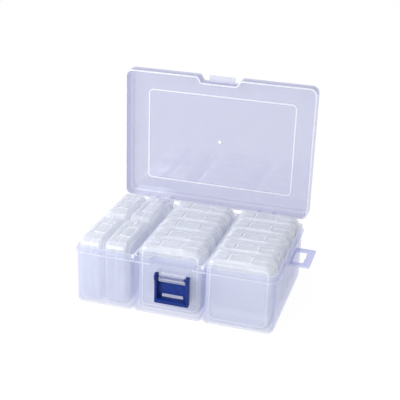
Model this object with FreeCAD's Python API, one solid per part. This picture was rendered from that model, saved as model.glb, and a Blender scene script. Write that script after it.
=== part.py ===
import FreeCAD, Part
import math
import os

# Keeper case: a clear moulded tray with a hinged lid and a blue front latch, holding small
# clear cases that stand on edge in three lanes. Millimetres. X runs to the right, Y to the
# back and Z up, from the middle of the tray's underside. The lid is modelled shut and then
# swung open, which is how the case rests.

# Sizes of the outer tray
case_width = 220.0
case_depth = 149.0
flange_out = 2.0
flange_thick = 1.5
flange_top = 61.1
lip_top = 66.5
wall = 1.6
floor_thick = 1.8
pocket_corner = 5.8
pocket_foot = 4.0

# How far cutting blocks run past a face, and how close two coordinates count as equal
overrun = 5.0
same = 1e-4

# Dividers between the three lanes
divider = 1.6
lane_slack = 3.6
divider_drop = 1.4
bead_width = 2.8
bead_height = 2.4
bead_round = 1.0

# Set-back stretch of the front lip, with the notch of the lid that it clears
notch_mouth = 48.8
notch_slant = 3.8
notch_depth = 6.8
notch_round = 3.4
recess_gap = 0.6
flange_gap_half = 21.0

# Hang tab on the right side
tab_reach = 22.8
tab_length = 41.8
tab_ahead = 3.6
tab_thick = 2.2
tab_round = 2.5
slot_inset = 3.5
slot_width = 11.5
slot_length = 29.5
slot_round = 3.0
slot_bump = 4.6
slot_bump_out = 1.4

# Lid
lid_over = 0.4
lid_rear_over = 3.8
lid_wall = 1.6
lid_height = 16.6
rim_gap = 0.2
lid_corner = 8.0
lid_round = 2.6
frame_side_margin = 23.2
frame_front_margin = 24.0
frame_back_margin = 19.8
frame_rib = 1.6
frame_proud = 0.8
frame_corner = 6.0
gate_radius = 1.7
gate_proud = 0.5
tongue_width = 29.4
tongue_thick = 3.2
tongue_gap = 0.3

# Rear hinge
hinge_out = 3.9
hinge_rise = 2.6
hinge_spacing = 124.0
rod_radius = 1.6
rod_gap = 0.1
knuckle_width = 12.0
lug_width = 4.0
side_gap = 0.4
lug_root = 9.0
heel_back = 7.4
heel_width = 4.0
heel_gap = 0.3
open_angle = 90.0

# Front latch
latch_width = 36.6
latch_shift = 1.2
latch_rail = 3.0
latch_rail_depth = 6.6
latch_plate = 1.7
latch_bar = 5.6
latch_lip = 2.4
latch_lip_out = 2.4
latch_window = 4.2
latch_window_width = 23.2
latch_plate_top = 7.5
latch_ear = 4.6
latch_axis_drop = 11.6
latch_over = 1.4
latch_wall_gap = 0.5
latch_back_gap = 0.7
latch_rod = 1.5
bracket_width = 26.4
bracket_gap = 0.2
bracket_shell = 1.4
bracket_foot = 7.0
bracket_mouth = 2.2

# Small inner case
inner_lid_depth = 12.3
inner_shell = 1.2
inner_corner = 10.0
inner_round = 5.0
rim_lip = 2.0
rim_lip_thick = 0.8
rim_lip_gap = 0.12
clasp_shift = -1.5
clasp_recess_width = 28.0
clasp_recess_depth = 14.0
clasp_recess_drop = 2.2
clasp_width = 24.0
clasp_thick = 1.1
clasp_sink = 0.3
clasp_front = 6.4
clasp_back = 5.4
clasp_hook = 1.0
clasp_bead_gap = 0.2
clasp_bead_height = 0.4
pivot_recess_width = 36.0
pivot_recess_depth = 7.0
pivot_recess_rise = 2.9
pivot_radius = 1.3
pivot_knuckle = 7.0
pivot_pin = 0.6
pivot_pin_gap = 0.08
pivot_side_gap = 0.3

# How the inner cases stand in the lanes
lane_count = 5
left_rows = 2
left_columns = 2
stand_gap = 0.3
head_gap = 0.9
between_gap = 0.3
middle_end_gap = 0.4
right_end_gap = 0.6
right_side_gap = 1.8
middle_side_gap = 1.8
left_end_gap = 0.4
left_row_gap = 0.6
left_side_gap = 1.0
left_column_gap = 2.0
left_spare_least = 4.0

# Places that follow from the sizes
wall_x = case_width / 2 - flange_out
wall_y = case_depth / 2 - flange_out
inside_x = wall_x - wall
inside_y = wall_y - wall
bay_corner = pocket_corner + wall
bay_foot = pocket_foot + wall
shelf_under = flange_top - flange_thick
lid_x = case_width / 2 + lid_over
lid_y = case_depth / 2 + lid_over
lid_back = case_depth / 2 + lid_rear_over
rim_z = flange_top + rim_gap
lid_top = rim_z + lid_height
lid_notch_y = -lid_y + notch_depth
recess_offset = lid_wall + recess_gap
recess_y = lid_notch_y + recess_offset
hinge_y = lid_back + hinge_out
hinge_z = rim_z + hinge_rise
knuckle_radius = hinge_out - heel_gap
hinge_stations = (-hinge_spacing / 2, hinge_spacing / 2)
latch_axis_y = -wall_y - latch_wall_gap - latch_ear
latch_axis_z = flange_top - latch_axis_drop
latch_length = lid_top + latch_over - latch_axis_z

# Sizes of the inner cases, all alike: five deep in a lane, and as wide as the left rows and
# the two wide lanes both leave room for
inner_height = lid_top - lid_wall - head_gap - floor_thick - stand_gap
middle_room = inside_y - recess_y - wall - 2 * middle_end_gap
inner_depth = (middle_room - (lane_count - 1) * between_gap) / lane_count
left_lane_least = left_side_gap + left_columns * inner_depth + left_column_gap + left_spare_least
row_room = inside_y - left_end_gap - left_row_gap / 2
lane_room = inside_x - divider - lane_slack - left_lane_least / 2
inner_width = min(row_room, lane_room)
lane_width = inner_width + lane_slack
right_divider_x = inside_x - lane_width - divider / 2
left_divider_x = right_divider_x - divider - lane_width

os.makedirs("parts", exist_ok=True)


def vec(x, y, z):
    return FreeCAD.Vector(x, y, z)


def box(x0, x1, y0, y1, z0, z1):
    return Part.makeBox(x1 - x0, y1 - y0, z1 - z0, vec(x0, y0, z0))


def rod_along_x(x0, x1, y, z, radius):
    return Part.makeCylinder(radius, x1 - x0, vec(x0, y, z), vec(1, 0, 0))


def fuse_all(shapes):
    return shapes[0].multiFuse(shapes[1:]).removeSplitter()


def tidy(shape):
    """One clean solid out of a boolean result."""
    shape = shape.removeSplitter()
    return shape.Solids[0] if len(shape.Solids) == 1 else shape


def corner_cut(before, corner, after, radius):
    """Tangent points and middle point of the arc that rounds one corner."""
    into = (before - corner).normalize()
    out = (after - corner).normalize()
    half = into.getAngle(out) / 2
    along = radius / math.tan(half)
    middle = (into + out).normalize()
    start = corner + into * along
    end = corner + out * along
    centre = corner + middle * (radius / math.sin(half))
    return start, centre - middle * radius, end


def outline(corners):
    """Closed wire through (x, y, radius) corners, each rounded by its own radius."""
    points = [vec(x, y, 0) for x, y, radius in corners]
    count = len(points)
    arcs = []
    for i, (x, y, radius) in enumerate(corners):
        arcs.append(corner_cut(points[i - 1], points[i], points[(i + 1) % count], radius))
    edges = []
    for i in range(count):
        start, middle, end = arcs[i]
        edges.append(Part.Arc(start, middle, end).toShape())
        following = arcs[(i + 1) % count][0]
        if end.distanceToPoint(following) > same:
            edges.append(Part.makeLine(end, following))
    return Part.Wire(edges)


def prism(corners, z0, z1):
    """Upright solid on a rounded outline."""
    face = Part.Face(outline(corners))
    face.translate(vec(0, 0, z0))
    return face.extrude(vec(0, 0, z1 - z0))


def rectangle(x0, x1, y0, y1, radius):
    return [(x0, y0, radius), (x1, y0, radius), (x1, y1, radius), (x0, y1, radius)]


def profile_yz(points, x0, x1):
    """Solid with a straight-sided section in the YZ plane, from x0 to x1."""
    wire = Part.makePolygon([vec(x0, y, z) for y, z in points + points[:1]])
    return Part.Face(wire).extrude(vec(x1 - x0, 0, 0))


def edges_at(shape, axis, value):
    """Edges that lie wholly in the plane where the axis has this value."""
    low = ("XMin", "YMin", "ZMin")[axis]
    high = ("XMax", "YMax", "ZMax")[axis]
    found = []
    for edge in shape.Edges:
        limits = edge.BoundBox
        if abs(getattr(limits, low) - value) < same and abs(getattr(limits, high) - value) < same:
            found.append(edge)
    return found


def tub(x0, x1, y0, y1, z0, z1, corner, foot):
    """Block with rounded upright edges and a rounded foot."""
    block = prism(rectangle(x0, x1, y0, y1, corner), z0, z1)
    return block.makeFillet(foot, edges_at(block, 2, z0))


# Notch of the lid and the matching recess of the tray's front lip

def notch_half(y, offset):
    """Half width of the slanted notch at depth y, for a face offset from the lid's own."""
    slope = notch_slant / notch_depth
    return notch_mouth / 2 + offset * math.hypot(1, slope) - slope * (y + lid_y)


def notched(half_x, front, back, corner, floor_y, offset, rounding):
    """Rounded rectangle whose front side steps back to floor_y along the notch's sides."""
    mouth = notch_half(front, offset)
    inside = notch_half(floor_y, offset)
    return [
        (-half_x, front, corner),
        (-mouth, front, rounding),
        (-inside, floor_y, rounding),
        (inside, floor_y, rounding),
        (mouth, front, rounding),
        (half_x, front, corner),
        (half_x, back, corner),
        (-half_x, back, corner),
    ]


def recess_block(y_front, y_back, offset, z0, z1):
    """The stepped-back stretch of the front as a solid block."""
    front = notch_half(y_front, offset)
    inside = notch_half(y_back, offset)
    corners = [(-front, y_front), (front, y_front), (inside, y_back), (-inside, y_back)]
    wire = Part.makePolygon([vec(x, y, z0) for x, y in corners + corners[:1]])
    return Part.Face(wire).extrude(vec(0, 0, z1 - z0))


# Tray

def lane_limits():
    """Inner faces of the three lanes, left to right."""
    half = divider / 2
    return [
        (-inside_x, left_divider_x - half),
        (left_divider_x + half, right_divider_x - half),
        (right_divider_x + half, inside_x),
    ]


def make_flange():
    half_x = case_width / 2
    half_y = case_depth / 2
    corner = bay_corner + flange_out
    plate = prism(rectangle(-half_x, half_x, -half_y, half_y, corner), shelf_under, flange_top)
    inner = flange_gap_half
    outer = flange_gap_half + flange_out
    corners = [(-outer, -half_y), (outer, -half_y), (inner, -wall_y), (-inner, -wall_y)]
    wire = Part.makePolygon([vec(x, y, shelf_under) for x, y in corners + corners[:1]])
    return plate.cut(Part.Face(wire).extrude(vec(0, 0, flange_thick)))


def make_hang_tab():
    """Plate with a hanging slot, level with the flange on the right side."""
    root_x = wall_x - wall / 2
    outer = case_width / 2 + tab_reach
    front = -tab_ahead - tab_length / 2
    back = -tab_ahead + tab_length / 2
    z0 = flange_top - tab_thick
    plate = prism(rectangle(root_x, outer, front, back, tab_round), z0, flange_top)
    root = box(root_x, wall_x + tab_round, front, back, z0, flange_top)
    slot_x = case_width / 2 + slot_inset
    slot = prism(rectangle(slot_x, slot_x + slot_width, -tab_ahead - slot_length / 2,
                           -tab_ahead + slot_length / 2, slot_round), z0, flange_top)
    bump_x = slot_x + slot_width - slot_bump + slot_bump_out
    bump = Part.makeCylinder(slot_bump, tab_thick, vec(bump_x, -tab_ahead, z0))
    return plate.fuse(root).cut(slot).cut(bump)


def make_lug(x0, x1):
    """Rear lug that carries one end of a hinge rod, with the heel that the open lid leans on."""
    r = knuckle_radius
    slope = r * math.sqrt(0.5)
    heel_z = hinge_z + knuckle_radius
    heel_y = hinge_y + heel_back
    under_lid = rim_z - side_gap
    points = [
        (wall_y - wall / 2, under_lid - lug_root),
        (wall_y - wall / 2, under_lid),
        (hinge_y - r, under_lid),
        (hinge_y - r, hinge_z),
        (hinge_y - slope, hinge_z + slope),
        (hinge_y, heel_z),
        (heel_y, heel_z),
        (heel_y - heel_width / 2, hinge_z - slope),
        (hinge_y, under_lid - lug_root + r),
    ]
    return profile_yz(points, x0, x1)


def make_tray_hinge():
    """Two rods, each between a pair of lugs."""
    solids = []
    inside = knuckle_width / 2 + side_gap
    for x in hinge_stations:
        solids.append(make_lug(x - inside - lug_width, x - inside))
        solids.append(make_lug(x + inside, x + inside + lug_width))
        solids.append(rod_along_x(x - inside, x + inside, hinge_y, hinge_z, rod_radius))
    return solids


def make_latch_bracket():
    """Open snap bearing on the front wall that wraps the latch's rod."""
    bore = latch_rod + bracket_gap
    outer = bore + bracket_shell
    x0 = latch_shift - bracket_width / 2
    x1 = latch_shift + bracket_width / 2
    shell = rod_along_x(x0, x1, latch_axis_y, latch_axis_z, outer)
    foot = box(x0, x1, latch_axis_y, -wall_y + wall / 2, latch_axis_z - bracket_foot / 2,
               latch_axis_z + bracket_foot / 2)
    keep = box(x0, x1, latch_axis_y + bore, -wall_y + wall / 2, latch_axis_z - bracket_foot / 2,
               latch_axis_z + bracket_foot / 2)
    mouth = box(x0, x1, latch_axis_y - bracket_mouth / 2, latch_axis_y + bracket_mouth / 2,
                latch_axis_z - outer, latch_axis_z)
    ring = shell.fuse(foot.common(keep))
    return ring.cut(rod_along_x(x0, x1, latch_axis_y, latch_axis_z, bore)).cut(mouth)


def make_base_tray():
    lanes = lane_limits()
    top = lip_top + overrun
    solids = []
    for x0, x1 in lanes:
        solids.append(tub(x0 - wall, x1 + wall, -wall_y, wall_y, 0, lip_top, bay_corner, bay_foot))
    rim = prism(rectangle(-wall_x, wall_x, -wall_y, wall_y, bay_corner), shelf_under, lip_top)
    body = fuse_all(solids + [rim, make_flange(), make_hang_tab()])
    pockets = []
    for x0, x1 in lanes:
        pockets.append(tub(x0, x1, -inside_y, inside_y, floor_thick, top, pocket_corner, pocket_foot))
    step = recess_block(-wall_y, recess_y + wall, recess_offset + wall, shelf_under, top)
    pockets[1] = pockets[1].cut(step)
    for pocket in pockets:
        body = body.cut(pocket)
    body = body.cut(recess_block(-wall_y - overrun, recess_y, recess_offset, flange_top, top))
    bead_top = lip_top - divider_drop
    for x in (left_divider_x, right_divider_x):
        spare = box(x - pocket_corner, x + pocket_corner, -inside_y, inside_y, bead_top, top)
        spare = spare.cut(step)
        body = body.cut(spare)
        bead = box(x - bead_width / 2, x + bead_width / 2, -inside_y, inside_y,
                   bead_top - bead_height, bead_top)
        long_edges = [e for e in edges_at(bead, 2, bead_top) if e.BoundBox.YLength > e.BoundBox.XLength]
        body = body.fuse(bead.makeFillet(bead_round, long_edges))
    return tidy(body.multiFuse(make_tray_hinge() + [make_latch_bracket()]))


# Lid, modelled shut and swung open

def swing_open(shape):
    shape.rotate(vec(0, hinge_y, hinge_z), vec(1, 0, 0), -open_angle)
    return shape


def make_lid():
    corners = notched(lid_x, -lid_y, lid_back, lid_corner, lid_notch_y, 0, notch_round)
    shell = prism(corners, rim_z, lid_top)
    shell = shell.makeFillet(lid_round, edges_at(shell, 2, lid_top))
    inner = notched(lid_x - lid_wall, -lid_y + lid_wall, lid_back - lid_wall, lid_corner - lid_wall,
                    lid_notch_y + lid_wall, lid_wall, notch_round)
    hollow = prism(inner, rim_z - overrun, lid_top - lid_wall)
    shell = shell.cut(hollow)
    plate_top = lid_top - frame_proud
    half = lid_x - frame_side_margin
    front = -lid_y + frame_front_margin
    back = lid_back - frame_back_margin
    outer = prism(rectangle(-half, half, front, back, frame_corner), plate_top, lid_top)
    inset = frame_rib
    inner = prism(rectangle(-half + inset, half - inset, front + inset, back - inset,
                            frame_corner - inset), plate_top, lid_top)
    sunk = prism(rectangle(-lid_x + lid_wall + lid_round, lid_x - lid_wall - lid_round,
                           lid_notch_y + lid_wall + lid_round, lid_back - lid_wall - lid_round,
                           frame_corner), plate_top, lid_top)
    shell = shell.cut(sunk.cut(outer.cut(inner)))
    gate = Part.makeCylinder(gate_radius, gate_proud,
                             vec(0, (front + back) / 2, lid_top - lid_wall - gate_proud))
    tongue_top = latch_axis_z + latch_length - latch_bar - tongue_gap
    tongue = box(latch_shift - tongue_width / 2, latch_shift + tongue_width / 2, -lid_y,
                 lid_notch_y + lid_wall / 2, tongue_top - tongue_thick, tongue_top)
    solids = [gate, tongue]
    for x in hinge_stations:
        x0 = x - knuckle_width / 2
        x1 = x + knuckle_width / 2
        arm = profile_yz([
            (lid_back - lid_wall / 2, rim_z + side_gap),
            (hinge_y, hinge_z - knuckle_radius),
            (hinge_y, hinge_z + knuckle_radius),
            (lid_back - lid_wall / 2, hinge_z + 2 * knuckle_radius),
        ], x0, x1)
        solids.append(arm.fuse(rod_along_x(x0, x1, hinge_y, hinge_z, knuckle_radius)))
    shell = shell.multiFuse(solids)
    bore = rod_radius + rod_gap
    for x in hinge_stations:
        shell = shell.cut(rod_along_x(x - knuckle_width, x + knuckle_width, hinge_y, hinge_z, bore))
    return swing_open(tidy(shell))


# Front latch, hanging down

def make_latch():
    half = latch_width / 2
    back = -wall_y - latch_back_gap
    bottom = latch_axis_z - latch_length
    bar_top = bottom + latch_bar
    window_top = bar_top + latch_window
    rail_front = back - latch_rail_depth
    solids = []
    for x0 in (-half, half - latch_rail):
        x1 = x0 + latch_rail
        solids.append(box(x0, x1, rail_front, back, bottom, latch_axis_z))
        solids.append(rod_along_x(x0, x1, latch_axis_y, latch_axis_z, latch_ear))
    inside = half - latch_rail
    plate = box(-inside, inside, back - latch_plate, back, bar_top, latch_axis_z - latch_plate_top)
    slot = box(-latch_window_width / 2, latch_window_width / 2, back - latch_plate, back,
               bar_top, window_top)
    solids.append(plate.cut(slot))
    solids.append(box(-inside, inside, rail_front, back, bottom, bar_top))
    solids.append(box(-inside, inside, rail_front - latch_lip_out, rail_front,
                      bar_top - latch_lip, bar_top))
    solids.append(rod_along_x(-inside, inside, latch_axis_y, latch_axis_z, latch_rod))
    latch = tidy(fuse_all(solids))
    latch.translate(vec(latch_shift, 0, 0))
    return latch


# Small inner case: standing on its hinged edge, front at y 0, left edge at x 0, foot at z 0

def pillow(inset):
    """Rounded block of the inner case, drawn in by an inset all round."""
    x0 = inset
    x1 = inner_width - inset
    z0 = inset
    z1 = inner_height - inset
    depth = inner_depth - 2 * inset
    block = prism(rectangle(x0, x1, z0, z1, inner_corner - inset), 0, depth)
    block = block.makeFillet(inner_round - inset, edges_at(block, 2, 0) + edges_at(block, 2, depth))
    block.rotate(vec(0, 0, 0), vec(1, 0, 0), 90)
    block.translate(vec(0, inner_depth - inset, 0))
    return block


def rim_ring(outer_inset, inner_inset, y0, y1):
    """Flat ring that follows the inner case's outline."""
    shapes = []
    for inset in (outer_inset, inner_inset):
        corners = rectangle(inset, inner_width - inset, inset, inner_height - inset, inner_corner - inset)
        ring = prism(corners, 0, y1 - y0)
        ring.rotate(vec(0, 0, 0), vec(1, 0, 0), 90)
        ring.translate(vec(0, y1, 0))
        shapes.append(ring)
    return shapes[0].cut(shapes[1])


def clasp_recess(grow):
    middle = inner_width / 2 + clasp_shift
    x = clasp_recess_width / 2 + grow
    y = clasp_recess_depth / 2 + grow
    return box(middle - x, middle + x, inner_lid_depth - y, inner_lid_depth + y,
               inner_height - clasp_recess_drop - grow, inner_height + overrun)


def pivot_recess(grow):
    middle = inner_width / 2
    x = pivot_recess_width / 2 + grow
    y = pivot_recess_depth / 2 + grow
    return box(middle - x, middle + x, inner_lid_depth - y, inner_lid_depth + y,
               -overrun, pivot_recess_rise + grow)


def make_inner_halves():
    """The thin lid half in front and the deeper tray half behind it."""
    skin = pillow(0).cut(clasp_recess(0)).cut(pivot_recess(0))
    hollow = pillow(inner_shell).cut(clasp_recess(inner_shell)).cut(pivot_recess(inner_shell))
    shell = skin.cut(hollow)
    front = shell.common(box(-overrun, inner_width + overrun, -overrun, inner_lid_depth,
                             -overrun, inner_height + overrun))
    rear = shell.common(box(-overrun, inner_width + overrun, inner_lid_depth, inner_depth + overrun,
                            -overrun, inner_height + overrun))
    lip = inner_shell + rim_lip_gap
    ring = rim_ring(lip, lip + rim_lip_thick, inner_lid_depth - rim_lip, inner_lid_depth)
    root = rim_ring(inner_shell / 2, lip + rim_lip_thick, inner_lid_depth, inner_lid_depth + rim_lip_thick)
    ring = ring.fuse(root)
    ring = ring.cut(clasp_recess(lip)).cut(pivot_recess(lip))
    rear = rear.fuse(ring)

    middle = inner_width / 2 + clasp_shift
    x0 = middle - clasp_width / 2
    x1 = middle + clasp_width / 2
    recess_floor = inner_height - clasp_recess_drop
    top = inner_height - clasp_sink
    under = top - clasp_thick
    y0 = inner_lid_depth - clasp_front
    y1 = inner_lid_depth + clasp_back
    strap = box(x0, x1, y0, y1, under, top)
    strap = strap.fuse(box(x0, x1, y0, inner_lid_depth - clasp_hook, recess_floor, under))
    strap = strap.fuse(box(x0, x1, y1 - clasp_hook, y1, under - clasp_bead_height, under))
    bead_back = y1 - clasp_hook - clasp_bead_gap
    bead = box(x0, x1, bead_back - clasp_hook, bead_back, recess_floor, recess_floor + clasp_bead_height)
    front = front.fuse(strap)
    rear = rear.fuse(bead)

    middle = inner_width / 2
    y = inner_lid_depth
    z = pivot_radius
    edge = pivot_knuckle / 2
    far = edge + pivot_side_gap + pivot_knuckle
    near = edge + pivot_side_gap
    roof = pivot_recess_rise
    rear = rear.fuse(rod_along_x(middle - edge, middle + edge, y, z, pivot_radius))
    rear = rear.fuse(box(middle - edge, middle + edge, y, y + pivot_radius, z, roof))
    rear = rear.fuse(rod_along_x(middle - far, middle + far, y, z, pivot_pin))
    bore = pivot_pin + pivot_pin_gap
    for x0, x1 in ((middle - far, middle - near), (middle + near, middle + far)):
        knuckle = rod_along_x(x0, x1, y, z, pivot_radius)
        knuckle = knuckle.fuse(box(x0, x1, y - pivot_radius, y, z, roof))
        front = front.fuse(knuckle.cut(rod_along_x(x0, x1, y, z, bore)))
    return tidy(front), tidy(rear)


def stand(shape, x, y, turned):
    """A copy of an inner half in its lane; a turned case has its front to the right."""
    placed = shape.copy()
    if turned:
        placed.rotate(vec(0, 0, 0), vec(0, 0, 1), 90)
        placed.translate(vec(inner_depth, 0, 0))
    placed.translate(vec(x, y, floor_thick + stand_gap))
    return placed


def save(shape, node):
    solids = len(shape.Solids)
    print(node, "solids", solids, "faces", len(shape.Faces), "valid", shape.isValid(),
          "volume", round(shape.Volume, 1))
    shape.exportStep("parts/" + node + ".step")


save(make_base_tray(), "base_tray")
save(make_lid(), "lid")
save(make_latch(), "front_latch")

# Where each inner case stands: five deep on the right and in the middle, and a turned
# square of four on the left

right_pitch = (2 * (inside_y - right_end_gap) - inner_depth) / (lane_count - 1)
right_x = inside_x - right_side_gap - inner_width
middle_x = left_divider_x + divider / 2 + middle_side_gap
middle_y = recess_y + wall + middle_end_gap
left_x = -inside_x + left_side_gap
left_y = -inner_width - left_row_gap / 2
left_column = inner_depth + left_column_gap
left_row = inner_width + left_row_gap

places = []
for i in range(lane_count):
    y = -inside_y + right_end_gap + i * right_pitch
    places.append(("right_case_%d" % (i + 1), right_x, y, False))
for i in range(lane_count):
    y = middle_y + i * (inner_depth + between_gap)
    places.append(("middle_case_%d" % (i + 1), middle_x, y, False))
for row in range(left_rows):
    for column in range(left_columns):
        name = "left_case_%d" % (row * left_columns + column + 1)
        places.append((name, left_x + column * left_column, left_y + row * left_row, True))

inner_front, inner_rear = make_inner_halves()
for name, x, y, turned in places:
    save(stand(inner_front, x, y, turned), name + "_lid")
    save(stand(inner_rear, x, y, turned), name + "_tray")
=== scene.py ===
import bmesh
import bpy
import math
from mathutils import Matrix, Vector
from mathutils.bvhtree import BVHTree


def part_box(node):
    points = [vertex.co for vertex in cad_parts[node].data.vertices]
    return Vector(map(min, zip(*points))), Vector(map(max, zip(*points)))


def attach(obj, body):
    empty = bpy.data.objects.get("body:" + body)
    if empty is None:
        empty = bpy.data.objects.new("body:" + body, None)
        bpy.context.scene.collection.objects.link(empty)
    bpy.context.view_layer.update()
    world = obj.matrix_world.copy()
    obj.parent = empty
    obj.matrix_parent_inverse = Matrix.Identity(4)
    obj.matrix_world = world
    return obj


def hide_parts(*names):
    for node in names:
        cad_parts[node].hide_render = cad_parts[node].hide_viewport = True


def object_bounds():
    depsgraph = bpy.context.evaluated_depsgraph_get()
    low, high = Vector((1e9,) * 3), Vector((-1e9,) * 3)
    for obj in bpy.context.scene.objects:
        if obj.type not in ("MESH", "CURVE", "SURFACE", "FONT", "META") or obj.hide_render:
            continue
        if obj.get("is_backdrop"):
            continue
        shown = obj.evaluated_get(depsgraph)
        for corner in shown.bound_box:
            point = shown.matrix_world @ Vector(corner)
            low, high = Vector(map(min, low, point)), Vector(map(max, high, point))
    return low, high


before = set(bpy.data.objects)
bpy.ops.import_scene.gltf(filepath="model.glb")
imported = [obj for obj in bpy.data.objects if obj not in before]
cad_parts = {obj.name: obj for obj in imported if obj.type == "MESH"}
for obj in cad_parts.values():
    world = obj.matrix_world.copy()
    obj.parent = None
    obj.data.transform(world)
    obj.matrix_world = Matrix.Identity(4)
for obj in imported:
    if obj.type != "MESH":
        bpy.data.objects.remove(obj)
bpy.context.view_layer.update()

# Outer tray: one clear polypropylene moulding with three tubs, their dividers, the lip, the flange, the
# hang tab and the latch's snap bearing. It is the moulded form with its sharp edges eased as the mould
# leaves them, in plastic that turns milk-white where a wall is seen along its length. Its eased edges and
# the divider bead tops carry a painted highlight in that white, and the hang tab is painted deeper as
# shade.


class Shade:
    """One output of a material's nodes, so that shader maths reads as an expression."""

    def __init__(self, tree, out):
        self.tree = tree
        self.out = out

    def make(self, kind, settings=None, inputs=None, out=0):
        """One output of a new node, with its settings made and its inputs set or linked."""
        node = self.tree.nodes.new(kind)
        for key, value in (settings or {}).items():
            setattr(node, key, value)
        for key, value in (inputs or {}).items():
            if isinstance(value, Shade):
                self.tree.links.new(value.out, node.inputs[key])
            else:
                node.inputs[key].default_value = value
        return Shade(self.tree, node.outputs[out] if node.outputs else None)

    def maths(self, operation, *values):
        return self.make("ShaderNodeMath", {"operation": operation}, dict(enumerate(values)))

    def __add__(self, other):
        return self.maths("ADD", self, other)

    def __sub__(self, other):
        return self.maths("SUBTRACT", self, other)

    def __rsub__(self, other):
        return self.maths("SUBTRACT", other, self)

    def __mul__(self, other):
        return self.maths("MULTIPLY", self, other)

    def __pow__(self, other):
        return self.maths("POWER", self, other)

    def __abs__(self):
        return self.maths("ABSOLUTE", self)

    def either(self, other):
        """The stronger of two masks."""
        return self.maths("MAXIMUM", self, other)

    def split(self):
        """The x, y and z of a place or a direction."""
        node = self.make("ShaderNodeSeparateXYZ", None, {0: self}).out.node
        return [Shade(self.tree, out) for out in node.outputs]

    def ramp(self, start, end):
        """0 at start, 1 at end, straight between and held beyond."""
        return self.make("ShaderNodeMapRange", None, {"Value": self, "From Min": start, "From Max": end})

    def line(self, core, edge):
        """1 within the core's distance of 0, and nothing from the edge's distance on."""
        return 1.0 - abs(self).ramp(core, edge)

    def blend(self, low, high):
        """A colour between two, by this factor."""
        return self.make("ShaderNodeMix", {"data_type": "RGBA"}, {0: self, 6: low, 7: high}, 2)

    def noise(self, scale, detail):
        return self.make("ShaderNodeTexNoise", None, {"Vector": self, "Scale": scale, "Detail": detail})

    def attribute(self, name, out):
        return self.make("ShaderNodeAttribute", {"attribute_name": name}, None, out)

    def bump(self, height, strength, distance):
        values = {"Height": height, "Strength": strength, "Distance": distance}
        return self.make("ShaderNodeBump", None, values)

    def mix(self, factor, first, second):
        """A shader between two."""
        return self.make("ShaderNodeMixShader", None, {0: factor, 1: first, 2: second})


def new_material(name):
    """An empty material, and the place on the object that its nodes start from."""
    material = bpy.data.materials.new(name)
    material.use_nodes = True
    tree = material.node_tree
    tree.nodes.clear()
    place = Shade(tree, tree.nodes.new("ShaderNodeTexCoord").outputs["Object"])
    return material, place


def clear_plastic(name, marks, body, glow, tint, deepen, haze, slant, gloss, mirror, thick, edge):
    """Clear moulded plastic: hazy where a wall is thin, deeper in colour where it is seen at a slant, and
    milk-white where a wall is seen along its length. Its eased edges carry a painted highlight in that
    white.

    marks: gives a mask of white places, mostly painted highlights, and a mask of deeper places, painted
    shade.
    body, glow: colour of the haze, lit from the near side and from the far side.
    tint, deepen: colour of what is seen through a wall, and the power it takes at a slant.
    haze, slant: how solid a wall looks square on, and how much more at a slant.
    gloss, mirror: roughness of the surface, and how much it mirrors square on.
    thick, edge: the depth of plastic that turns milk-white, and how white that and the painted highlight
    on the edges are.
    """
    milk_and_highlight_white = (0.98, 0.98, 0.99, 1)
    milk_translucent = 0.4
    milk_most = 0.9
    milk_fade = 0.0016
    haze_translucent = 0.45
    haze_clouds = 0.4
    cloud_middle = 0.5
    haze_power = 3.0
    deep_power = 2.0
    level_relief = 0.8
    gloss_clouds = 0.08
    slant_mirror = 0.5
    mirror_power = 5.0

    material, place = new_material(name)
    depth = place.attribute("wall_depth", "Fac")
    eased = place.attribute("eased_edge", "Fac")
    marked, deeper = marks(place)
    # Eased edges get a painted highlight in the same white as the milk of thick walls, and the marks add
    # their own painted highlights.
    edges = depth.ramp(thick, thick + milk_fade).either(eased) * edge
    milk_and_highlights = edges.either(marked) * milk_most
    cloud = place.noise(scale=40.0, detail=2.0)
    ripple = place.noise(scale=130.0, detail=1.0)
    normal = place.bump(ripple, strength=0.04, distance=0.0004)
    turned = place.make("ShaderNodeLayerWeight", None, {"Blend": 0.5}, "Facing")
    level = Shade(place.tree, place.out.node.outputs["Normal"]).split()[2]
    upright = 1.0 - abs(level) * level_relief

    hazed = place.mix(
        haze_translucent,
        place.make("ShaderNodeBsdfPrincipled", None, {
            "Base Color": body, "Roughness": cloud * gloss_clouds + gloss, "IOR": 1.5, "Normal": normal}),
        place.make("ShaderNodeBsdfTranslucent", None, {"Color": glow}))
    white = place.mix(
        milk_translucent,
        place.make("ShaderNodeBsdfDiffuse", None, {"Color": milk_and_highlight_white}),
        place.make("ShaderNodeBsdfTranslucent", None, {"Color": milk_and_highlight_white}))
    # The deeper tint also carries the tray's painted shade on the hang tab.
    through = place.mix(
        (turned ** deep_power * upright).either(deeper),
        place.make("ShaderNodeBsdfTransparent", None, {"Color": tint}),
        place.make("ShaderNodeBsdfTransparent", None, {"Color": tuple(c ** deepen for c in tint)}))
    shine = place.make("ShaderNodeBsdfAnisotropic", None, {"Color": (1, 1, 1, 1), "Roughness": gloss})

    solid = turned ** haze_power * slant + haze + (cloud - cloud_middle) * (haze * haze_clouds)
    plastic = place.mix(milk_and_highlights, place.mix(solid, through, hazed), white)
    surface = place.mix(turned ** mirror_power * slant_mirror + mirror, plastic, shine)
    place.make("ShaderNodeOutputMaterial", None, {"Surface": surface})
    return material


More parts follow.
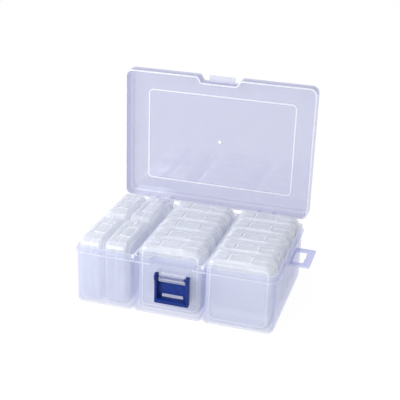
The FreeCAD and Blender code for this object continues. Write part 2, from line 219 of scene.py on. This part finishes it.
def eased_copy(node, name, ease):
    """The node's own form as one mesh, with its sharp edges rounded by the ease. The faces of
    the rounding carry the attribute eased_edge."""
    weld = 2e-6
    flat = math.radians(0.6)
    sharp_from = math.radians(38)
    smooth_to = math.radians(32)

    piece = bpy.data.objects.new(name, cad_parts[node].data.copy())
    bpy.context.scene.collection.objects.link(piece)
    mesh = bmesh.new()
    mesh.from_mesh(piece.data)
    bmesh.ops.remove_doubles(mesh, verts=mesh.verts, dist=weld)
    bmesh.ops.dissolve_limit(mesh, angle_limit=flat, verts=mesh.verts, edges=mesh.edges)
    sharp = [e for e in mesh.edges if len(e.link_faces) == 2 and e.calc_face_angle() > sharp_from]
    eased = mesh.faces.layers.float.new("eased_edge")
    bevel = bmesh.ops.bevel(mesh, geom=sharp, offset=ease, segments=2, affect="EDGES", clamp_overlap=True)
    for face in bevel["faces"]:
        face[eased] = 1.0
    bmesh.ops.triangulate(mesh, faces=mesh.faces)
    for face in mesh.faces:
        face.smooth = True
    mesh.to_mesh(piece.data)
    mesh.free()
    piece.data.materials.clear()
    piece.data.set_sharp_from_angle(angle=smooth_to)

    modifier = piece.modifiers.new("even", "WEIGHTED_NORMAL")
    modifier.keep_sharp = True
    modifier.weight = 100
    evaluated = piece.evaluated_get(bpy.context.evaluated_depsgraph_get())
    even = bpy.data.meshes.new_from_object(evaluated)
    piece.modifiers.remove(modifier)
    piece.data = even
    return piece


def add_wall_depth(piece):
    """Stores on each face how much plastic lies behind all of it, up to 20 mm: the least that
    is found straight behind its middle and its corners, drawn a little inward."""
    far = 0.02
    skin = 2e-5
    inward = 0.35
    mesh = piece.data
    corners = [v.co.copy() for v in mesh.vertices]
    tree = BVHTree.FromPolygons(corners, [tuple(p.vertices) for p in mesh.polygons])
    depth = mesh.attributes.new("wall_depth", "FLOAT", "FACE")
    for face in mesh.polygons:
        starts = [corners[corner].lerp(face.center, inward) for corner in face.vertices]
        found = []
        for start in starts + [face.center]:
            hit = tree.ray_cast(start - face.normal * skin, -face.normal, far)
            found.append(hit[3] if hit[0] is not None else far)
        depth.data[face.index].value = min(found)


def tray_highlight_and_shade(place):
    """Masks of a painted highlight along the divider bead tops, which reads whiter, and of painted shade
    on the hang tab, which reads deeper. A divider stands either side of the middle lane's cases, and the
    tab starts past the flange."""
    divider_aside = 0.0026
    bead_core = 0.0015
    bead_edge = 0.0018
    bead_reach = 0.005
    bead_highlight_white = 0.6
    tab_aside = 0.0002
    tab_painted_shade = 0.75
    fade = 0.0004
    tray_low, tray_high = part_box("base_tray")
    lane_low, lane_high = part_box("middle_case_1_lid")
    bead_foot = tray_high.z - bead_reach
    tab_start = tab_aside - tray_low.x

    x, _, z = place.split()
    # Painted highlight along the top of each divider bead.
    left = (x - (lane_low.x - divider_aside)).line(bead_core, bead_edge)
    right = (x - (lane_high.x + divider_aside)).line(bead_core, bead_edge)
    bead_highlights = left.either(right) * z.ramp(bead_foot, bead_foot + fade) * bead_highlight_white
    # The hang tab is painted deeper, as shade.
    return bead_highlights, x.ramp(tab_start, tab_start + fade) * tab_painted_shade


tray_plastic = clear_plastic(
    "clear_tray_plastic", tray_highlight_and_shade,
    body=(0.85, 0.87, 0.99, 1), glow=(0.90, 0.91, 0.99, 1), tint=(0.965, 0.968, 0.993, 1), deepen=11.0,
    haze=0.13, slant=0.2, gloss=0.10, mirror=0.035, thick=0.0026, edge=0.5)
tray = eased_copy("base_tray", "outer_tray_shell", ease=0.00022)
add_wall_depth(tray)
tray.data.materials.append(tray_plastic)
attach(tray, "outer_tray")
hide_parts("base_tray")

# Lid: one clear moulding, hinged at the back and stood open. Its panel has a raised frame line, its thick
# plastic white and painted brighter as a highlight, and the gate mark in the middle, and its plastic is
# more lavender than the tray's.


def rounded_frame(x, z, half_wide, half_high, corner):
    """How far a point lies outside a rounded rectangle about the origin, less than 0 inside."""
    across = abs(x) - (half_wide - corner)
    height = abs(z) - (half_high - corner)
    outer = across.either(0.0) ** 2.0 + height.either(0.0) ** 2.0
    inner = across.either(height)
    return outer.maths("SQRT", outer) + inner.maths("MINIMUM", inner, 0.0) - corner


def lid_rib_highlight_and_gate(place):
    """Mask of the panel's raised frame line, its thick plastic white and painted brighter as a highlight,
    seen through the plate, and of the gate mark. The panel is measured in from the open lid's sides and
    top, and the plate forward from its back."""
    side_margin = 0.0232
    top_margin = 0.024
    half_high = 0.0547
    panel_corner = 0.006
    rib_inset = 0.0008
    rib_core = 0.0005
    rib_edge = 0.0009
    rib_highlight_white = 0.85
    plate_depth = 0.0028
    plate_fade = 0.0002
    gate_depth = 0.0017
    gate_core = 0.0018
    gate_edge = 0.0022
    lid_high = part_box("lid")[1]
    half_wide = lid_high.x - side_margin
    middle_z = lid_high.z - top_margin - half_high
    plate_front = lid_high.y - plate_depth
    gate = (0.0, lid_high.y - gate_depth, middle_z)

    x, y, z = place.split()
    # Painted highlight along the panel's raised frame line, through the whole plate.
    rib_highlight = rounded_frame(x, z - middle_z, half_wide, half_high, panel_corner) + rib_inset
    rib_highlight = rib_highlight.line(rib_core, rib_edge) * y.ramp(plate_front, plate_front + plate_fade) * rib_highlight_white
    away = place.make("ShaderNodeVectorMath", {"operation": "DISTANCE"}, {0: place, 1: gate}, "Value")
    return rib_highlight.either(away.line(gate_core, gate_edge)), 0.0


lid_plastic = clear_plastic(
    "clear_lid_plastic", lid_rib_highlight_and_gate,
    body=(0.52, 0.54, 0.80, 1), glow=(0.68, 0.70, 0.90, 1), tint=(0.83, 0.838, 0.915, 1), deepen=2.4,
    haze=0.17, slant=0.4, gloss=0.08, mirror=0.06, thick=0.0026, edge=0.9)
lid = eased_copy("lid", "hinged_lid_shell", ease=0.00022)
add_wall_depth(lid)
lid.data.materials.append(lid_plastic)
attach(lid, "outer_lid")
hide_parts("lid")

# Inner cases: fourteen alike, each a thin half with the clasp and a deeper half with the rim.
# Both halves are taken once from the first right-hand case and stood in their places by a
# geometry tree, turned a quarter in the left lane.

mould_low, mould_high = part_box("right_case_1_lid")


def case_seam_and_highlights(place):
    """Mask of the line where the two halves meet, painted white as its highlight and brighter towards its
    right-hand end, of painted highlights at either end of the clasp and of a painted highlight along the
    edge of the flat front, in the mould's place, which starts at the thin half's lowest corner."""
    rim_lip = 0.002
    parting_core = 0.0005
    parting_edge = 0.0010
    parting_faint = 0.15
    right_end_highlight = 0.7
    highlight_start = 0.048
    highlight_end = 0.062
    clasp_shift = 0.0015
    recess_start = 0.0138
    recess_end = 0.0144
    end_place = 0.0118
    end_core = 0.0006
    end_edge = 0.0010
    end_front_y = 0.0052
    end_back_y = 0.0180
    end_reach = 0.0027
    end_fade = 0.0004
    end_fade_z = 0.0002
    clasp_glint_white = 0.8
    border_round = 0.005
    border_core = 0.0004
    border_edge = 0.0012
    border_highlight_white = 0.4
    half_wide = (mould_high.x - mould_low.x) / 2
    half_high = (mould_high.z - mould_low.z) / 2
    parting_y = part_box("right_case_1_tray")[0].y - mould_low.y + rim_lip
    end_z = mould_high.z - mould_low.z - end_reach

    x, y, z = place.attribute("moulded_place", "Vector").split()
    aside = abs(x - (half_wide - clasp_shift))
    # The seam between the halves, painted white as its highlight and brighter towards its right-hand end.
    seam_highlight = (y - parting_y).line(parting_core, parting_edge) * aside.ramp(recess_start, recess_end)
    seam_highlight = seam_highlight * (x.ramp(highlight_start, highlight_end) * right_end_highlight + parting_faint)
    # Painted highlights at either end of the clasp.
    clasp_glints = (aside - end_place).line(end_core, end_edge) * z.ramp(end_z, end_z + end_fade_z)
    clasp_glints = clasp_glints * y.ramp(end_front_y, end_front_y + end_fade)
    clasp_glints = clasp_glints * (1.0 - y.ramp(end_back_y, end_back_y + end_fade)) * clasp_glint_white
    # Painted highlight along the edge of the flat front.
    border_highlight = rounded_frame(x - half_wide, z - half_high, half_wide - border_round,
                           half_high - border_round, border_round)
    border_highlight = border_highlight.line(border_core, border_edge) * (1.0 - y.ramp(border_core, border_edge))
    return seam_highlight.either(clasp_glints).either(border_highlight * border_highlight_white), 0.0


case_plastic = clear_plastic(
    "clear_inner_plastic", case_seam_and_highlights,
    body=(0.915, 0.93, 0.965, 1), glow=(0.93, 0.94, 0.968, 1), tint=(0.985, 0.988, 0.993, 1), deepen=3.5,
    haze=0.30, slant=0.4, gloss=0.28, mirror=0.035, thick=0.0045, edge=0.3)


def standing_tree(material):
    """Geometry tree that stands one moulded half in its lane."""
    tree = bpy.data.node_groups.new("stand_inner_case", "GeometryNodeTree")
    tree.interface.new_socket("Geometry", in_out="INPUT", socket_type="NodeSocketGeometry")
    tree.interface.new_socket("Place", in_out="INPUT", socket_type="NodeSocketVector")
    tree.interface.new_socket("Turn", in_out="INPUT", socket_type="NodeSocketFloat")
    tree.interface.new_socket("Geometry", in_out="OUTPUT", socket_type="NodeSocketGeometry")
    entry = tree.nodes.new("NodeGroupInput")
    leave = tree.nodes.new("NodeGroupOutput")
    place = tree.nodes.new("GeometryNodeInputPosition")
    keep = tree.nodes.new("GeometryNodeStoreNamedAttribute")
    turn = tree.nodes.new("ShaderNodeCombineXYZ")
    move = tree.nodes.new("GeometryNodeTransform")
    real = tree.nodes.new("GeometryNodeRealizeInstances")
    paint = tree.nodes.new("GeometryNodeSetMaterial")
    keep.data_type = "FLOAT_VECTOR"
    keep.inputs["Name"].default_value = "moulded_place"
    paint.inputs["Material"].default_value = material
    tree.links.new(entry.outputs["Geometry"], keep.inputs["Geometry"])
    tree.links.new(place.outputs["Position"], keep.inputs["Value"])
    tree.links.new(keep.outputs["Geometry"], move.inputs["Geometry"])
    tree.links.new(entry.outputs["Place"], move.inputs["Translation"])
    tree.links.new(entry.outputs["Turn"], turn.inputs["Z"])
    tree.links.new(turn.outputs["Vector"], move.inputs["Rotation"])
    tree.links.new(move.outputs["Geometry"], real.inputs["Geometry"])
    tree.links.new(real.outputs["Geometry"], paint.inputs["Geometry"])
    tree.links.new(paint.outputs["Geometry"], leave.inputs["Geometry"])
    return tree


stand_case = standing_tree(case_plastic)
sockets = {item.name: item.identifier for item in stand_case.interface.items_tree}
case_halves = {}
for part in ("lid", "tray"):
    half = eased_copy("right_case_1_" + part, "moulded_half_" + part, ease=0.00018)
    half.data.transform(Matrix.Translation(-mould_low))
    add_wall_depth(half)
    case_halves[part] = half

for lane, count in (("right", 5), ("middle", 5), ("left", 4)):
    for number in range(1, count + 1):
        case = "%s_case_%d" % (lane, number)
        low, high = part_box(case + "_lid")
        turned = lane == "left"
        for part, half in case_halves.items():
            modifier = half.modifiers.new("stand", "NODES")
            modifier.node_group = stand_case
            modifier[sockets["Place"]] = (high.x if turned else low.x, low.y, low.z)
            modifier[sockets["Turn"]] = math.pi / 2 if turned else 0.0
            half.update_tag()
            evaluated = half.evaluated_get(bpy.context.evaluated_depsgraph_get())
            mesh = bpy.data.meshes.new_from_object(evaluated)
            half.modifiers.remove(modifier)
            piece = bpy.data.objects.new("%s_%s_shell" % (case, part), mesh)
            bpy.context.scene.collection.objects.link(piece)
            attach(piece, case)
            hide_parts(case + "_" + part)
for half in case_halves.values():
    bpy.data.objects.remove(half)

# Front latch: a solid deep blue moulding with two side rails, a window and a hook bar. It hangs
# from its own rod in the tray's clear bearing.


def blue_plastic(name):
    """Solid blue plastic with a soft sheen, uneven in tone and with a fine grain."""
    dark_blue = (0.001, 0.016, 0.15, 1)
    light_blue = (0.003, 0.026, 0.21, 1)
    dark_cloud = 0.35
    light_cloud = 0.65
    smoothest = 0.3
    rough_clouds = 0.12

    material, place = new_material(name)
    cloud = place.noise(scale=160.0, detail=4.0)
    grain = place.noise(scale=2600.0, detail=2.0)
    surface = place.make("ShaderNodeBsdfPrincipled", None, {
        "Base Color": cloud.ramp(dark_cloud, light_cloud).blend(dark_blue, light_blue),
        "Roughness": cloud * rough_clouds + smoothest,
        "Specular IOR Level": 0.25,
        "Normal": place.bump(grain, strength=0.12, distance=0.00015)})
    place.make("ShaderNodeOutputMaterial", None, {"Surface": surface})
    return material


latch = eased_copy("front_latch", "front_latch_shell", ease=0.0006)
latch.data.materials.append(blue_plastic("blue_latch_plastic"))
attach(latch, "latch")
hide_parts("front_latch")

# Table and studio: a wide white table under a white sky, a soft lamp at the front left and one
# above, and the camera where the photograph was taken.


def seen_rays(tree):
    """Mask of the rays that show a thing: the camera's own, mirrored ones and transmitted ones."""
    path = tree.nodes.new("ShaderNodeLightPath")
    seen = Shade(tree, path.outputs["Is Camera Ray"])
    glossy = Shade(tree, path.outputs["Is Glossy Ray"])
    through = Shade(tree, path.outputs["Is Transmission Ray"])
    return seen.either(glossy).either(through)


def table_white():
    """White paper that is seen as plain white, but for the object's faint shadow."""
    shown = 0.93
    material, place = new_material("white_table")
    paper = place.make("ShaderNodeBsdfDiffuse", None, {"Color": (0.86, 0.86, 0.87, 1)})
    light = place.make("ShaderNodeEmission", None, {"Color": (1, 1, 1, 1), "Strength": 1.03})
    surface = place.mix(seen_rays(place.tree) * shown, paper, light)
    place.make("ShaderNodeOutputMaterial", None, {"Surface": surface})
    return material


reach = 6
floor_mesh = bpy.data.meshes.new("table")
floor_mesh.from_pydata([(-reach, -reach, 0), (reach, -reach, 0), (reach, reach, 0), (-reach, reach, 0)],
                       [], [(0, 1, 2, 3)])
floor = bpy.data.objects.new("table", floor_mesh)
bpy.context.scene.collection.objects.link(floor)
floor.data.materials.append(table_white())
floor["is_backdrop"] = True

# The sky is seen as plain white, and lights the object with a little over half of that.
world = bpy.data.worlds.new("studio")
bpy.context.scene.world = world
world.use_nodes = True
sky = world.node_tree.nodes["Background"]
sky.inputs["Color"].default_value = (1, 1, 1, 1)
seen = seen_rays(world.node_tree)
strength = seen.make("ShaderNodeMapRange", None, {"Value": seen, "To Min": 0.58, "To Max": 1.0})
world.node_tree.links.new(strength.out, sky.inputs["Strength"])


def soft_lamp(name, place, aim, size, power):
    lamp = bpy.data.lights.new(name, "AREA")
    lamp.shape = "RECTANGLE"
    lamp.size, lamp.size_y = size
    lamp.energy = power
    stand = bpy.data.objects.new(name, lamp)
    stand.location = place
    stand.rotation_euler = (Vector(aim) - Vector(place)).to_track_quat("-Z", "Y").to_euler()
    bpy.context.scene.collection.objects.link(stand)


soft_lamp("key_lamp", place=(-0.8, -0.95, 0.55), aim=(0, 0, 0.05), size=(0.8, 0.6), power=17.0)
soft_lamp("top_lamp", place=(-0.2, 0.1, 1.2), aim=(0, 0, 0), size=(0.8, 0.5), power=3.0)

camera_place = (0.2554, -0.8678, 0.4783)
azimuth = math.radians(16.043)
elevation = math.radians(22.323)
roll = math.radians(2.012)
back = Vector((math.sin(azimuth) * math.cos(elevation), -math.cos(azimuth) * math.cos(elevation),
               math.sin(elevation)))
level = Vector((math.cos(azimuth), math.sin(azimuth), 0))
upright = back.cross(level)
right = level * math.cos(roll) + upright * math.sin(roll)
up = upright * math.cos(roll) - level * math.sin(roll)
camera = bpy.data.objects.new("camera", bpy.data.cameras.new("camera"))
bpy.context.scene.collection.objects.link(camera)
camera.matrix_world = Matrix.Translation(camera_place) @ Matrix((right, up, back)).transposed().to_4x4()
camera.data.sensor_width = 36.0
camera.data.lens = 81.86
camera.data.clip_start = 0.05
camera.data.clip_end = 30.0
bpy.context.scene.camera = camera
bpy.context.scene.view_settings.view_transform = "Standard"
bpy.context.scene.cycles.transparent_max_bounces = 64
bpy.context.scene.cycles.max_bounces = 24
bpy.context.scene.cycles.diffuse_bounces = 12
bpy.context.scene.cycles.glossy_bounces = 6

low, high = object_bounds()
